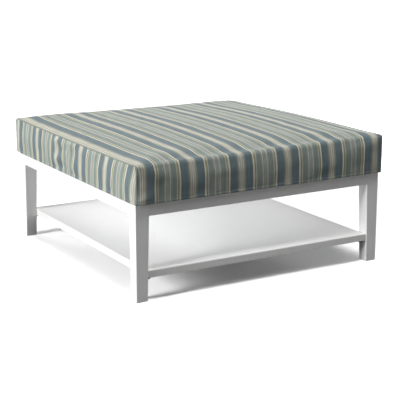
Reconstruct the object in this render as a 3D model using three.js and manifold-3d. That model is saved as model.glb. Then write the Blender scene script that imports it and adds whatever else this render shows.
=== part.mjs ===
// Square outdoor ottoman footstool: a welded aluminium frame on four tapered legs, with a slatted
// deck, a folded sheet shelf between the legs, and a loose zipped cushion on top.
// Millimetres, +Z up. The origin is on the floor, under the centre of the frame. The front faces -Y.

import * as THREE from "three";
import { mergeVertices } from "three/addons/utils/BufferGeometryUtils.js";
import Module from "manifold-3d";

const wasm = await Module();
wasm.setup();

// Frame
const frameWidth = 900;
const frameDepth = 900;
const frameHeight = 304;
const weldGap = 0.1;

// Apron rails, rectangular tube
const apronHeight = 40;
const apronThickness = 20;
const apronWall = 1.8;
const apronEdgeRadius = 1.5;

// Legs, square tube that tapers on its two inner faces from the apron down to the foot
const legTopWidth = 45;
const legFootWidth = 38;
const legWall = 2.5;
const legEdgeRadius = 1;

// Foot glides, moulded plugs pushed into the legs
const glideThickness = 2;
const glideInset = 1;
const glidePlugHeight = 14;
const glidePlugGap = 0.3;

// Corner gussets
const gussetReach = 110;
const gussetSheet = 3;
const gussetLift = 1;

// Deck slats and the angles that carry them
const slatWidth = 60;
const slatThickness = 12;
const slatWall = 1.2;
const slatEdgeRadius = 1.5;
const slatEndGap = 1;
const slatCount = 6;
const ledgeReach = 18;
const ledgeHeight = 18;
const ledgeSheet = 2;
const ledgeEndGap = 5;

// Shelf, a folded sheet tray stiffened by three channels
const shelfTopHeight = 95;
const shelfThickness = 23;
const shelfSheet = 2;
const shelfEdgeRadius = 2.5;
const shelfSideGap = 0.5;
const shelfEndInset = 3;
const channelWidth = 32;
const channelSheet = 1.5;
const channelGap = 0.2;
const channelEndGap = 3;

// Shelf pins, which screw into the inner faces of the legs
const pinHeadRadius = 4.5;
const pinReach = 15;
const pinShankRadius = 3;
const pinShankLength = 12;
const pinGap = 0.3;

// Cushion cover and its form
const cushionOverhang = 6;
const cushionBulge = 2;
const cushionDrawIn = 3;
const hemDrop = 2;
const seamHeight = 422;
const edgeRise = 4;
const crownRise = 15.5;
const cornerRoll = 12;
const middleRoll = 40;
const seamRoll = 6;
const coverThickness = 1.5;
const layerGap = 0.3;
const leastRadius = 0.5;

// Cushion filling and underside cloth
const foamEdgeRadius = 8;
const wrapThickness = 12;
const wrapTopThickness = 16.4;
const baseThickness = 1.2;
const restGap = 0.3;

// Zip across the underside cloth, between the rear rail and the last slat
const zipSideMargin = 106;
const zipTapeWidth = 24;
const zipTapeThickness = 0.8;
const zipChainWidth = 6;
const zipChainThickness = 1.5;
const zipEndGap = 4;
const sliderLength = 12;
const sliderWidth = 10;
const sliderThickness = 2.4;
const pullLength = 22;
const pullWidth = 6;
const pullNeckWidth = 3;

// Overrun of the solids that cut pockets and holes
const cutOverrun = 5;

// Steps of the round stretches, and of the cushion's faces
const arcSteps = 3;
const roundSteps = 24;
const sideSteps = 4;
const rollSteps = 4;
const topSteps = 5;
const lengthSteps = 6;
const seamSteps = 2;
const swellPower = 5;
const crownPower = 3;
const panelShares = [0.8, 0.4];

// Places that follow from the sizes above
const halfWidth = frameWidth / 2;
const halfDepth = frameDepth / 2;
const apronBottom = frameHeight - apronHeight;
const shelfBottom = shelfTopHeight - shelfThickness;
const pinHeight = shelfBottom - pinGap - pinHeadRadius;
const hemBottom = frameHeight - hemDrop;
const baseBottom = frameHeight + restGap;
const fillingBottom = baseBottom + baseThickness + layerGap;
const cushionHalfWidth = halfWidth + cushionOverhang;
const cushionHalfDepth = halfDepth + cushionOverhang;

// Materials
function material(color, roughness, metalness) {
  return new THREE.MeshStandardMaterial({ color, roughness, metalness });
}

const whitePowderCoat = material("#f0f0ee", 0.45, 0);
const darkSteel = material("#2c2d2f", 0.45, 0.8);
const paleNylon = material("#dcdcd8", 0.6, 0);
const stripedFabric = material("#8b9b98", 0.9, 0);
const polyesterFibre = material("#f2f2ef", 0.95, 0);
const polyetherFoam = material("#e8dfc4", 0.95, 0);
const undersideCloth = material("#6f7c7e", 0.9, 0);
const zipTapeCloth = material("#7b898c", 0.85, 0);
const zipMetal = material("#b9b9b6", 0.35, 0.9);

// Outlines
function roundedOutline(corners, radius) {
  const points = [];
  corners.forEach((corner, index) => {
    const before = corners[(index + corners.length - 1) % corners.length];
    const after = corners[(index + 1) % corners.length];
    const toBefore = before.clone().sub(corner).normalize();
    const toAfter = after.clone().sub(corner).normalize();
    const halfAngle = Math.acos(toBefore.dot(toAfter)) / 2;
    const tangent = radius / Math.tan(halfAngle);
    const towards = toBefore.clone().add(toAfter).normalize();
    const centre = corner.clone().addScaledVector(towards, radius / Math.sin(halfAngle));
    const from = corner.clone().addScaledVector(toBefore, tangent).sub(centre);
    const to = corner.clone().addScaledVector(toAfter, tangent).sub(centre);
    const sweep = Math.atan2(from.cross(to), from.dot(to));
    for (let step = 0; step <= arcSteps; step += 1) {
      const turned = from.clone().rotateAround(new THREE.Vector2(), (sweep * step) / arcSteps);
      points.push(turned.add(centre));
    }
  });
  return points;
}

function rectangle(x0, x1, y0, y1) {
  return [
    new THREE.Vector2(x0, y0),
    new THREE.Vector2(x1, y0),
    new THREE.Vector2(x1, y1),
    new THREE.Vector2(x0, y1),
  ];
}

function roundedRectangle(x0, x1, y0, y1, radius) {
  return roundedOutline(rectangle(x0, x1, y0, y1), radius);
}

function pointsFrom(pairs) {
  return pairs.map(([x, y]) => new THREE.Vector2(x, y));
}

// Solids from outlines
function extrude(outline, length, hole) {
  const shape = new THREE.Shape(outline);
  if (hole) {
    shape.holes.push(new THREE.Path(hole));
  }
  return new THREE.ExtrudeGeometry(shape, { depth: length, bevelEnabled: false });
}

function extrudeAlongX(outline, length, hole) {
  const geometry = extrude(outline, length, hole).translate(0, 0, -length / 2);
  const yzx = new THREE.Matrix4().makeBasis(
    new THREE.Vector3(0, 1, 0),
    new THREE.Vector3(0, 0, 1),
    new THREE.Vector3(1, 0, 0),
  );
  return geometry.applyMatrix4(yzx);
}

function extrudeAlongY(outline, length, hole) {
  const geometry = extrude(outline, length, hole).translate(0, 0, -length / 2);
  const xzy = new THREE.Matrix4().makeBasis(
    new THREE.Vector3(1, 0, 0),
    new THREE.Vector3(0, 0, 1),
    new THREE.Vector3(0, -1, 0),
  );
  return geometry.applyMatrix4(xzy);
}

// A closed solid through a row of rings with the same number of points, closed by a fan at each end
function solidFromRings(rings, firstMiddle, lastMiddle) {
  const count = rings[0].length;
  const positions = [...rings.flat(), firstMiddle, lastMiddle].flatMap((point) => point.toArray());
  const first = rings.length * count;
  const last = first + 1;
  const lastRing = (rings.length - 1) * count;
  const indices = [];
  for (let i = 0; i < count; i += 1) {
    const next = (i + 1) % count;
    for (let ring = 0; ring < lastRing; ring += count) {
      indices.push(ring + i, ring + next, ring + count + next);
      indices.push(ring + i, ring + count + next, ring + count + i);
    }
    indices.push(first, next, i);
    indices.push(last, lastRing + i, lastRing + next);
  }
  const geometry = new THREE.BufferGeometry();
  geometry.setAttribute("position", new THREE.Float32BufferAttribute(positions, 3));
  geometry.setIndex(indices);
  geometry.computeVertexNormals();
  return geometry;
}

function middleOf(ring) {
  const middle = new THREE.Vector3();
  ring.forEach((point) => middle.add(point));
  return middle.divideScalar(ring.length);
}

function stackedSolid(rings) {
  return solidFromRings(rings, middleOf(rings[0]), middleOf(rings[rings.length - 1]));
}

function ringAt(outline, height) {
  return outline.map((point) => new THREE.Vector3(point.x, point.y, height));
}

// Cuts
function toManifold(geometry) {
  const bare = geometry.clone();
  bare.deleteAttribute("normal");
  bare.deleteAttribute("uv");
  const merged = mergeVertices(bare);
  return new wasm.Manifold(
    new wasm.Mesh({
      numProp: 3,
      vertProperties: new Float32Array(merged.attributes.position.array),
      triVerts: new Uint32Array(merged.index.array),
    }),
  );
}

function cut(body, ...tools) {
  let solid = toManifold(body);
  tools.forEach((tool) => {
    solid = solid.subtract(toManifold(tool));
  });
  const { vertProperties, triVerts } = solid.getMesh();
  const geometry = new THREE.BufferGeometry();
  geometry.setAttribute("position", new THREE.BufferAttribute(vertProperties, 3));
  geometry.setIndex(new THREE.BufferAttribute(triVerts, 1));
  geometry.computeVertexNormals();
  return geometry;
}

// A copy turned over to another corner of the frame, with its faces still outwards
function mirrored(geometry, signX, signY) {
  const copy = mergeVertices(geometry.clone().deleteAttribute("normal"));
  copy.scale(signX, signY, 1);
  if (signX * signY < 0) {
    const indices = copy.index.array;
    for (let i = 0; i < indices.length; i += 3) {
      [indices[i], indices[i + 1]] = [indices[i + 1], indices[i]];
    }
  }
  copy.computeVertexNormals();
  return copy;
}

// The scene
const ottoman = new THREE.Group();

function add(name, geometry, finish, x = 0, y = 0, z = 0) {
  const mesh = new THREE.Mesh(geometry, finish);
  mesh.name = name;
  mesh.position.set(x, y, z);
  ottoman.add(mesh);
}

// The part for the rear right corner, drawn from the leg's outer edge, goes to all four corners
const corners = [
  ["front_left", -1, -1],
  ["front_right", 1, -1],
  ["rear_left", -1, 1],
  ["rear_right", 1, 1],
];

function addAtCorners(name, geometry, finish) {
  corners.forEach(([place, signX, signY]) => {
    const part = mirrored(geometry, signX, signY);
    add(`${name}_${place}`, part, finish, signX * halfWidth, signY * halfDepth, 0);
  });
}

// Legs
function legWidthAt(height) {
  const rise = (height - glideThickness) / (apronBottom - glideThickness);
  const taperShare = THREE.MathUtils.clamp(rise, 0, 1);
  return legFootWidth + (legTopWidth - legFootWidth) * taperShare;
}

function legOutline(height, inset) {
  const inner = inset - legWidthAt(height);
  return roundedRectangle(inner, -inset, inner, -inset, legEdgeRadius);
}

function legRing(height, inset) {
  return ringAt(legOutline(height, inset), height);
}

function shelfPinHole() {
  const radius = pinShankRadius + pinGap;
  const length = legWall + cutOverrun * 2;
  const hole = new THREE.CylinderGeometry(radius, radius, length, roundSteps).rotateZ(Math.PI / 2);
  const width = legWidthAt(pinHeight);
  return hole.translate(-width + legWall / 2, -width / 2, pinHeight);
}

function legGeometry() {
  const outside = stackedSolid([
    legRing(glideThickness, 0),
    legRing(apronBottom, 0),
    legRing(frameHeight, 0),
  ]);
  const inside = stackedSolid([
    legRing(glideThickness - cutOverrun, legWall),
    legRing(glideThickness, legWall),
    legRing(apronBottom, legWall),
    legRing(frameHeight - legWall, legWall),
  ]);
  return cut(outside, inside, shelfPinHole());
}

// Foot glides: a thin plate under the leg, with a plug that follows the leg's bore
function glideGeometry() {
  const plateTop = glideThickness - weldGap;
  const plug = legWall + glidePlugGap;
  return stackedSolid([
    ringAt(legOutline(glideThickness, glideInset), 0),
    ringAt(legOutline(glideThickness, glideInset), plateTop),
    ringAt(legOutline(glideThickness, plug), plateTop),
    legRing(glideThickness + glidePlugHeight, plug),
  ]);
}

// Shelf pins: a round head that carries the shelf, and a shank through the leg's inner wall
function pinGeometry() {
  const profile = pointsFrom([
    [0, -pinShankLength],
    [pinShankRadius, -pinShankLength],
    [pinShankRadius, 0],
    [pinHeadRadius, 0],
    [pinHeadRadius, pinReach],
    [0, pinReach],
  ]);
  const width = legWidthAt(pinHeight);
  const pin = new THREE.LatheGeometry(profile, roundSteps).deleteAttribute("uv").rotateZ(Math.PI / 2);
  return pin.translate(-width - pinGap, -width / 2, pinHeight);
}

// Gussets: plates under the deck that tie each leg to its two rails
function gussetGeometry() {
  const rail = -apronThickness - weldGap;
  const leg = -legTopWidth - weldGap;
  const outline = pointsFrom([
    [rail, leg],
    [leg, leg],
    [leg, rail],
    [-gussetReach, rail],
    [rail, -gussetReach],
  ]);
  return extrude(outline, gussetSheet).translate(0, 0, apronBottom + gussetLift);
}

function addLegs() {
  addAtCorners("leg", legGeometry(), whitePowderCoat);
  addAtCorners("foot_glide", glideGeometry(), paleNylon);
  addAtCorners("corner_gusset", gussetGeometry(), whitePowderCoat);
  addAtCorners("shelf_pin", pinGeometry(), darkSteel);
}

// Apron rails
function tubeOutline(width, height, inset, radius) {
  const x = width / 2 - inset;
  const y = height / 2 - inset;
  return roundedRectangle(-x, x, -y, y, Math.max(radius - inset, leastRadius));
}

function addApron() {
  const outside = tubeOutline(apronThickness, apronHeight, 0, apronEdgeRadius);
  const bore = tubeOutline(apronThickness, apronHeight, apronWall, apronEdgeRadius);
  const railGap = 2 * (legTopWidth + weldGap);
  const height = frameHeight - apronHeight / 2;
  const besideX = halfWidth - apronThickness / 2;
  const besideY = halfDepth - apronThickness / 2;
  const crossRail = extrudeAlongX(outside, frameWidth - railGap, bore);
  const sideRail = extrudeAlongY(outside, frameDepth - railGap, bore);
  add("apron_front", crossRail, whitePowderCoat, 0, -besideY, height);
  add("apron_rear", crossRail, whitePowderCoat, 0, besideY, height);
  add("apron_left", sideRail, whitePowderCoat, -besideX, 0, height);
  add("apron_right", sideRail, whitePowderCoat, besideX, 0, height);
}

// Deck: two angles on the side rails, with slats across them
const deckDepth = frameDepth - 2 * apronThickness;
const slatPitch = deckDepth / slatCount;

function ledgeOutline(side) {
  const outer = side * (halfWidth - apronThickness - weldGap);
  const inner = outer - side * ledgeReach;
  const top = frameHeight - slatThickness - weldGap;
  return pointsFrom([
    [outer, top],
    [inner, top],
    [inner, top - ledgeSheet],
    [outer - side * ledgeSheet, top - ledgeSheet],
    [outer - side * ledgeSheet, top - ledgeHeight],
    [outer, top - ledgeHeight],
  ]);
}

function addDeck() {
  const ledgeLength = frameDepth - 2 * (legTopWidth + ledgeEndGap);
  add("slat_ledge_left", extrudeAlongY(ledgeOutline(-1), ledgeLength), whitePowderCoat);
  add("slat_ledge_right", extrudeAlongY(ledgeOutline(1), ledgeLength), whitePowderCoat);
  const outside = tubeOutline(slatWidth, slatThickness, 0, slatEdgeRadius);
  const bore = tubeOutline(slatWidth, slatThickness, slatWall, slatEdgeRadius);
  const slat = extrudeAlongX(outside, frameWidth - 2 * (apronThickness + slatEndGap), bore);
  for (let i = 0; i < slatCount; i += 1) {
    const y = (i + 1 / 2) * slatPitch - deckDepth / 2;
    add(`deck_slat_${i + 1}`, slat, whitePowderCoat, 0, y, frameHeight - slatThickness / 2);
  }
}

// Shelf
const shelfHalfWidth = halfWidth - legWidthAt(shelfTopHeight) - shelfSideGap;
const shelfHalfDepth = halfDepth - shelfEndInset;

function shelfRing(height, inset) {
  const x = shelfHalfWidth - inset;
  const y = shelfHalfDepth - inset;
  return ringAt(roundedRectangle(-x, x, -y, y, shelfEdgeRadius), height);
}

function shelfTrayGeometry() {
  const rings = [shelfRing(shelfBottom, 0)];
  for (let step = 0; step <= arcSteps; step += 1) {
    const angle = ((Math.PI / 2) * step) / arcSteps;
    const inset = shelfEdgeRadius * (1 - Math.cos(angle));
    const height = shelfTopHeight - shelfEdgeRadius * (1 - Math.sin(angle));
    rings.push(shelfRing(height, inset));
  }
  const hollow = stackedSolid([
    shelfRing(shelfBottom - cutOverrun, shelfSheet),
    shelfRing(shelfTopHeight - shelfSheet, shelfSheet),
  ]);
  return cut(stackedSolid(rings), hollow);
}

// A channel, open upwards, whose flat web lies level with the tray's folded edges
function channelOutline() {
  const outer = channelWidth / 2;
  const inner = outer - channelSheet;
  const top = shelfTopHeight - shelfSheet - channelGap;
  const web = shelfBottom + channelSheet;
  return pointsFrom([
    [-outer, shelfBottom],
    [outer, shelfBottom],
    [outer, top],
    [inner, top],
    [inner, web],
    [-inner, web],
    [-inner, top],
    [-outer, top],
  ]);
}

function addShelf() {
  add("shelf_tray", shelfTrayGeometry(), whitePowderCoat);
  const channelLength = 2 * (shelfHalfDepth - shelfSheet - channelEndGap);
  const channel = extrudeAlongY(channelOutline(), channelLength);
  const beside = shelfHalfWidth - shelfSheet - channelGap - channelWidth / 2;
  add("shelf_channel_left", channel, whitePowderCoat, -beside, 0, 0);
  add("shelf_channel_middle", channel, whitePowderCoat);
  add("shelf_channel_right", channel, whitePowderCoat, beside, 0, 0);
}

// Cushion form. Its top runs over rolled front and rear edges in one piece, between two flat side
// panels. Swell is 0 at the side panels and 1 halfway between them.
function swellAt(share) {
  return 1 - Math.abs(share) ** swellPower;
}

// How much of the crown's rise the top has reached, from 0 at its edges to 1 in its middle
function crownAt(share) {
  return 1 - Math.abs(share) ** crownPower;
}

// How far a side stands out past its bottom edge: it bulges at half height, and its top is drawn in
// between the corners
function sideOffset(height, swell) {
  const rise = THREE.MathUtils.clamp((height - hemBottom) / (seamHeight - hemBottom), 0, 1);
  return cushionBulge * Math.sin(Math.PI * rise) - cushionDrawIn * swell * rise;
}

// Half a section across the cushion, from its bottom edge up the rear face to the middle of the top
function halfSection(lengthShare, inset, bottom) {
  const swell = swellAt(lengthShare);
  const edgeTop = seamHeight + edgeRise * swell - inset;
  const fullRoll = cornerRoll + (middleRoll - cornerRoll) * swell;
  const roll = Math.max(fullRoll - inset, leastRadius);
  const rollStart = edgeTop - roll;
  const points = [];
  for (let step = 0; step < sideSteps; step += 1) {
    const height = bottom + ((rollStart - bottom) * step) / sideSteps;
    points.push(new THREE.Vector2(cushionHalfDepth - inset + sideOffset(height, swell), height));
  }
  const rollCentre = cushionHalfDepth - inset + sideOffset(rollStart, swell) - roll;
  for (let step = 0; step <= rollSteps; step += 1) {
    const angle = ((Math.PI / 2) * step) / rollSteps;
    const out = rollCentre + roll * Math.cos(angle);
    points.push(new THREE.Vector2(out, rollStart + roll * Math.sin(angle)));
  }
  for (let step = 1; step <= topSteps; step += 1) {
    const share = 1 - step / topSteps;
    const rise = crownRise * crownAt(lengthShare) * crownAt(share);
    points.push(new THREE.Vector2(rollCentre * share, edgeTop + rise));
  }
  return points;
}

function section(lengthShare, inset, bottom) {
  const rear = halfSection(lengthShare, inset, bottom);
  const front = rear.slice(0, -1).reverse();
  return [...rear, ...front.map((point) => new THREE.Vector2(-point.x, point.y))];
}

// A ring of a side panel or its rounded seam: the end section drawn towards the middle of its bottom
// edge, at a distance out from the cushion's middle. The ring is given its side and its bottom later.
function panelRing(end, depthShare, heightShare, out, fullness) {
  return (side, bottom) =>
    end.map((point) => {
      const y = point.x * depthShare;
      const z = bottom + (point.y - bottom) * heightShare;
      const swell = swellAt(y / cushionHalfDepth);
      return new THREE.Vector3(side * (out + sideOffset(z, swell) * fullness), y, z);
    });
}

function panelRings(inset, bottom) {
  const end = section(1, inset, bottom);
  const roll = Math.max(seamRoll - inset, leastRadius);
  const reach = cushionHalfWidth - inset;
  const rings = [];
  for (let step = 1; step <= seamSteps; step += 1) {
    const angle = ((Math.PI / 2) * step) / seamSteps;
    const fullness = Math.sin(angle);
    const drawn = roll * (1 - Math.cos(angle));
    const out = reach - roll * (1 - fullness);
    const depthShare = 1 - drawn / cushionHalfDepth;
    const heightShare = 1 - drawn / (seamHeight - bottom);
    rings.push(panelRing(end, depthShare, heightShare, out, fullness));
  }
  const depthShare = 1 - roll / cushionHalfDepth;
  const heightShare = 1 - roll / (seamHeight - bottom);
  panelShares.forEach((share) => {
    rings.push(panelRing(end, depthShare * share, heightShare * share, reach, 1));
  });
  return rings;
}

function cushionForm(inset, bottom) {
  const sidePanel = panelRings(inset, bottom);
  const left = sidePanel.map((ring) => ring(-1, bottom)).reverse();
  const right = sidePanel.map((ring) => ring(1, bottom));
  const reach = cushionHalfWidth - Math.max(seamRoll, inset + leastRadius);
  const between = [];
  for (let step = -lengthSteps; step <= lengthSteps; step += 1) {
    const share = Math.sin(((Math.PI / 2) * step) / lengthSteps);
    const ring = section(share, inset, bottom);
    between.push(ring.map((point) => new THREE.Vector3(reach * share, point.x, point.y)));
  }
  return stackedSolid([...left, ...between, ...right]);
}

// Cushion: cover, fibre wrap, foam core and underside cloth, one inside the other
function boxForm(halfX, halfY, bottom, top, radius) {
  const outline = roundedRectangle(-halfX, halfX, -halfY, halfY, radius);
  return extrude(outline, top - bottom).translate(0, 0, bottom);
}

function addCushion() {
  const outside = cushionForm(0, hemBottom);
  const lining = cushionForm(coverThickness, hemBottom - cutOverrun);
  add("cushion_cover", cut(outside, lining), stripedFabric);

  const wrapInset = coverThickness + layerGap;
  const coreHalfWidth = cushionHalfWidth - wrapInset - wrapThickness;
  const coreHalfDepth = cushionHalfDepth - wrapInset - wrapThickness;
  const coreTop = seamHeight - wrapInset - wrapTopThickness;
  const pocket = boxForm(
    coreHalfWidth,
    coreHalfDepth,
    fillingBottom - cutOverrun,
    coreTop,
    foamEdgeRadius,
  );
  add("fibre_wrap", cut(cushionForm(wrapInset, fillingBottom), pocket), polyesterFibre);
  const core = boxForm(
    coreHalfWidth - layerGap,
    coreHalfDepth - layerGap,
    fillingBottom,
    coreTop - layerGap,
    foamEdgeRadius,
  );
  add("foam_core", core, polyetherFoam);
  const base = boxForm(
    cushionHalfWidth - wrapInset,
    cushionHalfDepth - wrapInset,
    baseBottom,
    baseBottom + baseThickness,
    seamRoll,
  );
  add("underside_cloth", base, undersideCloth);
}

// Zip: a tape with its chain, and a slider with a short pull
const zipLength = 2 * (cushionHalfWidth - zipSideMargin);
const zipPlace = halfDepth - apronThickness - (slatPitch - slatWidth) / 4;
const tapeTop = baseBottom - layerGap;
const chainBottom = tapeTop - zipTapeThickness - zipChainThickness;

function zipTapeOutline() {
  const tape = zipTapeWidth / 2;
  const chain = zipChainWidth / 2;
  const tapeBottom = tapeTop - zipTapeThickness;
  return pointsFrom([
    [-tape, tapeTop],
    [-tape, tapeBottom],
    [-chain, tapeBottom],
    [-chain, chainBottom],
    [chain, chainBottom],
    [chain, tapeBottom],
    [tape, tapeBottom],
    [tape, tapeTop],
  ]);
}

function sliderOutline() {
  const body = sliderWidth / 2;
  const neck = pullNeckWidth / 2;
  const pull = pullWidth / 2;
  const pullStart = sliderLength + pullNeckWidth;
  const pullEnd = sliderLength + pullLength;
  return pointsFrom([
    [0, -body],
    [sliderLength, -neck],
    [pullStart, -neck],
    [pullEnd, -pull],
    [pullEnd, pull],
    [pullStart, neck],
    [sliderLength, neck],
    [0, body],
  ]);
}

function addZip() {
  add("zip_tape", extrudeAlongX(zipTapeOutline(), zipLength), zipTapeCloth, 0, zipPlace, 0);
  const slider = extrude(sliderOutline(), sliderThickness);
  const closedEnd = zipLength / 2 - zipEndGap - sliderLength - pullLength;
  const sliderBottom = chainBottom - layerGap - sliderThickness;
  add("zip_slider", slider, zipMetal, closedEnd, zipPlace, sliderBottom);
}

addLegs();
addApron();
addDeck();
addShelf();
addCushion();
addZip();

export default ottoman;
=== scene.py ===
"""The looks of a square outdoor ottoman footstool: a white powder coated frame with a low shelf, and a
loose cushion in a striped woven cloth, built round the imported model."""

import math

import bmesh
import bpy
import numpy as np
from mathutils import Matrix, Vector, noise
from mathutils.bvhtree import BVHTree


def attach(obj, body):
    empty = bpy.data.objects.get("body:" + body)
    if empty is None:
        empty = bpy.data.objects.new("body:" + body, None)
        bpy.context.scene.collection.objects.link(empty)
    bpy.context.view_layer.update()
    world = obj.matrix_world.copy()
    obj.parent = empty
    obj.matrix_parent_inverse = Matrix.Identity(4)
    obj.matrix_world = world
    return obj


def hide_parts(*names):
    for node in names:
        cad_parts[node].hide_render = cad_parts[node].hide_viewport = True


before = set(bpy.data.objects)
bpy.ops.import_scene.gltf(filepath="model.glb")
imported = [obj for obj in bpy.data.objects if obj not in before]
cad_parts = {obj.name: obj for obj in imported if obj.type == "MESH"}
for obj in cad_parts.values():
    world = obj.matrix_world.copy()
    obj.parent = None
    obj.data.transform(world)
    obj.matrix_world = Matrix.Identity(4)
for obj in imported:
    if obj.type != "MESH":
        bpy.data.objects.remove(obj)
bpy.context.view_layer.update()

MM = 0.001

# Camera, fitted to the photograph's straight edges
CAMERA_PLACE = Vector((-1.958, -3.411, 1.141))
CAMERA_TARGET = Vector((0.0231, -0.0135, 0.1661))
CAMERA_LENS_MM = 105.3
SENSOR_MM = 36

# Cushion, in millimetres: its extent, with how much further it reaches to the rear and to the front
FRAME_HALF = 450
HALF = 456
REAR_REACH = 12
FRONT_REACH = 5
HEM_BOTTOM = 302
SEAM_HEIGHT = 422
# How its edges rise towards their middle and how wide they roll over, how its sides bulge and draw in, and
# how the front's upper part leans in
EDGE_RISE = 4
CORNER_ROLL = 9
MIDDLE_ROLL = 11
BULGE = 2
FRONT_BULGE = 0.8
DRAW_IN = 3
SHOULDER = 11
SHOULDER_HEIGHT = 50
SWELL_POWER = 5
# Its crown, flatter in the middle the higher its power
CROWN_RISE = 15.5
CROWN_POWER = 3
FRONT_CROWN_POWER = 2.5
REAR_CROWN_POWER = 1.7
# Its seams, its hem, and what closes it below
SEAM_ROUNDING = 4
SEAM_INSET = SEAM_ROUNDING * (1 - math.sqrt(1 / 2))
HEM_ROUNDING = 2
HEM_WIDTH = 3.5
BASE_BOTTOM = 304.3
BASE_TOP = 305.5
FILLING_BOTTOM = 305.7
# The slack front left corner: how far it is rounded, the share of that at the hem and at the top, and over
# what height each share takes hold
SLACK_CORNER = 24
SLACK_AT_HEM = 0.45
SLACK_HEM_HEIGHT = 25
SLACK_AT_TOP = 0.4
SLACK_TOP_HEIGHT = 30
# How far the rim and the middle stand above the even form: rows from front to rear, left to right
SLACK = [[0, -4.5, 6.5], [-1, 0, 6], [2.5, 0, -7]]
# A fuller place near the rear left corner: its middle, its half width and how far it stands up
FULL_PLACE = (-305, 400)
FULL_HALF_WIDTH = 110
FULL_RISE = 2.5

# Grooves that the stitches press into the cover
SEAM_GROOVE = 1.6
SEAM_GROOVE_WIDTH = 2.2
HEM_STITCH_HEIGHT = 311.2
HEM_GROOVE = 0.45
HEM_GROOVE_WIDTH = 1.6

# Puckers all over the cover: their size across, back and up, coarse ones and fine ones, and how far each kind
# stands out on a side panel, on the front and rear, and on the top
COARSE_SIZE = (62, 55, 44)
FINE_SIZE = (27, 27, 19)
PANEL_PUCKERS = (2.4, 0.9)
END_PUCKERS = (2.6, 1.1)
TOP_PUCKERS = 0.8
# Where the left panel is crinkled most: the middle along it, the half width, and how far that stands out
CRINKLED_PLACE = 62
CRINKLED_HALF_WIDTH = 62
CRINKLED_HEIGHT = 4.2
# How far from a seam the puckers die out, how far above the hem, and how far below the top on front and rear
SEAM_CALM = (1, 16)
HEM_CALM = (2, 22)
TOP_CALM = (45, 20)
# How far above the hem the settled cloth is free to move
SETTLED_RISE = 26

# Puckers of a side panel: its side, the middle and half width along it, how far they stand out, the height of
# one crest, and the distance from crest to crest. Every crest climbs towards the front at the same slope.
WAVE_SLOPE = 0.15
WAVES = [
    (-1, 85, 48, 4.2, 405, 63),
    (-1, -18, 28, 2.4, 335, 75),
    (-1, -205, 30, 1.6, 350, 80),
    (-1, 230, 40, 1.2, 380, 70),
    (1, -120, 45, 3.6, 396, 66),
    (1, 60, 30, 2.0, 350, 72),
    (1, 265, 40, 2.4, 386, 60),
]

# Mesh lines across the cushion, in millimetres from a seam or from the hem
SEAM_LINES = [0, 0.8, 1.8, 3, 4.5, 7, 11, 17]
HEM_LINES = [0, 1.2, 3.5, 6.5, 8.2, 9.2, 10.2, 12, 15, 20]
CLOTH_STEP = 10.5

# An edge is rounded where its faces turn by more than this.
SHARP_ANGLE = math.radians(40)
# A face or an edge counts as lying along an axis from this cosine on.
FACING = 0.9

# Hem stitches. The real ones lie 4 mm apart. They are drawn longer, because shorter ones don't show.
STITCH_SIZE = (3.8, 0.8, 0.6)
STITCH_PITCH = 5.2
STITCH_END = 12

# Zip under the cushion
ZIP_PLACE = 409.2
ZIP_HALF = 350
TAPE_BOTTOM = 303.2
TAPE_TOP = 304
TAPE_WIDTH = 24
CORD_RADIUS = 0.6
TOOTH_SIZE = (1.7, 3.3, 1.5)
TOOTH_PITCH = 3
TOOTH_SPREAD = 1.1
ZIP_END = 4
SLIDER_START = 334
SLIDER_END = 346
SLIDER_BOTTOM = 299
SLIDER_TOP = 301.4
SLIDER_WIDTH = 10
PULL_START = 312
PULL_WIDTH = 6

# Lamps: the way each shines, its level, where 1 renders a white face as it is, and its softness in degrees
LAMPS = [
    ("left_lamp", (1, 0.06, -0.38), 1.06, 22),
    ("rear_lamp", (0.1, -1, -0.18), 0.6, 24),
    ("right_lamp", (-1, -0.05, -0.16), 0.62, 24),
    ("overhead_lamp", (0, 0.21, -1), 0.34, 12),
]
# A weak panel under the deck. It stands in for the light that the white faces there throw on each other.
FILL_PLACE = (30, 20, 262)
FILL_SIDE = 800
FILL_LEVEL = 0.4
# How light the camera sees the floor, against a white one. It is more than 1, so that only the near shadow
# shows.
FLOOR_GAIN = 1.68
FLOOR_SIDE_M = 60

# Striped cloth: its repeat, and where its first cream stripe lies on the top
REPEAT = 172.1
FIRST_CREAM = -434.6
# How far the cloth lies askew, all of it and then its right part, and how it is drawn out beside the left
# seam. Each takes hold between two places.
CLOTH_SHIFT = -1.2
RIGHT_SHIFT = 4
RIGHT_PART = (160, 260)
EDGE_SQUEEZE = 0.6
EDGE_PART = (SEAM_HEIGHT - 40, SEAM_HEIGHT - 5)
# How far the front's stripes bow away from the left corner, and over what width
FRONT_BOW = 5
FRONT_BOW_WIDTH = 45
# How far the side panels' stripes lean, more towards the front within two limits, and how far they bow, more
# beside the front corner
PANEL_LEAN = 6
PANEL_LEAN_GROWTH = 0.05
PANEL_LEAN_LIMITS = (1, 22)
PANEL_BOW = 3
CORNER_BOW = 5
CORNER_BOW_START = 300
CORNER_BOW_WIDTH = 120
# Where the cream stripes lie on the side panels, from the rear to the front
LEFT_CREAMS = [446, 272.7, 109.3, -79.3, -258.7, -448]
RIGHT_CREAMS = [430.3, 258.2, 86.1, -86.1, -258.2, -430.3]
# Bands of half a repeat, from the middle of a cream stripe to the middle of the grey one: where each starts,
# in millimetres, its colour, and how far it blends with the one before
BANDS = [
    (0, "#e6e5d8", 0),
    (1.4, "#bcbbac", 0.8),
    (5.8, "#e2e1d4", 0.8),
    (7.8, "#b5b4a4", 1),
    (13.3, "#728388", 9),
    (41.5, "#e8e4d6", 0.8),
    (46.3, "#a2a182", 0.8),
    (52.2, "#cbccbd", 0.8),
    (55.5, "#909c96", 1.2),
    (70, "#99a39b", 8),
    (75.8, "#cfd1c7", 0.8),
    (79.2, "#a6aba2", 0.8),
]


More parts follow.
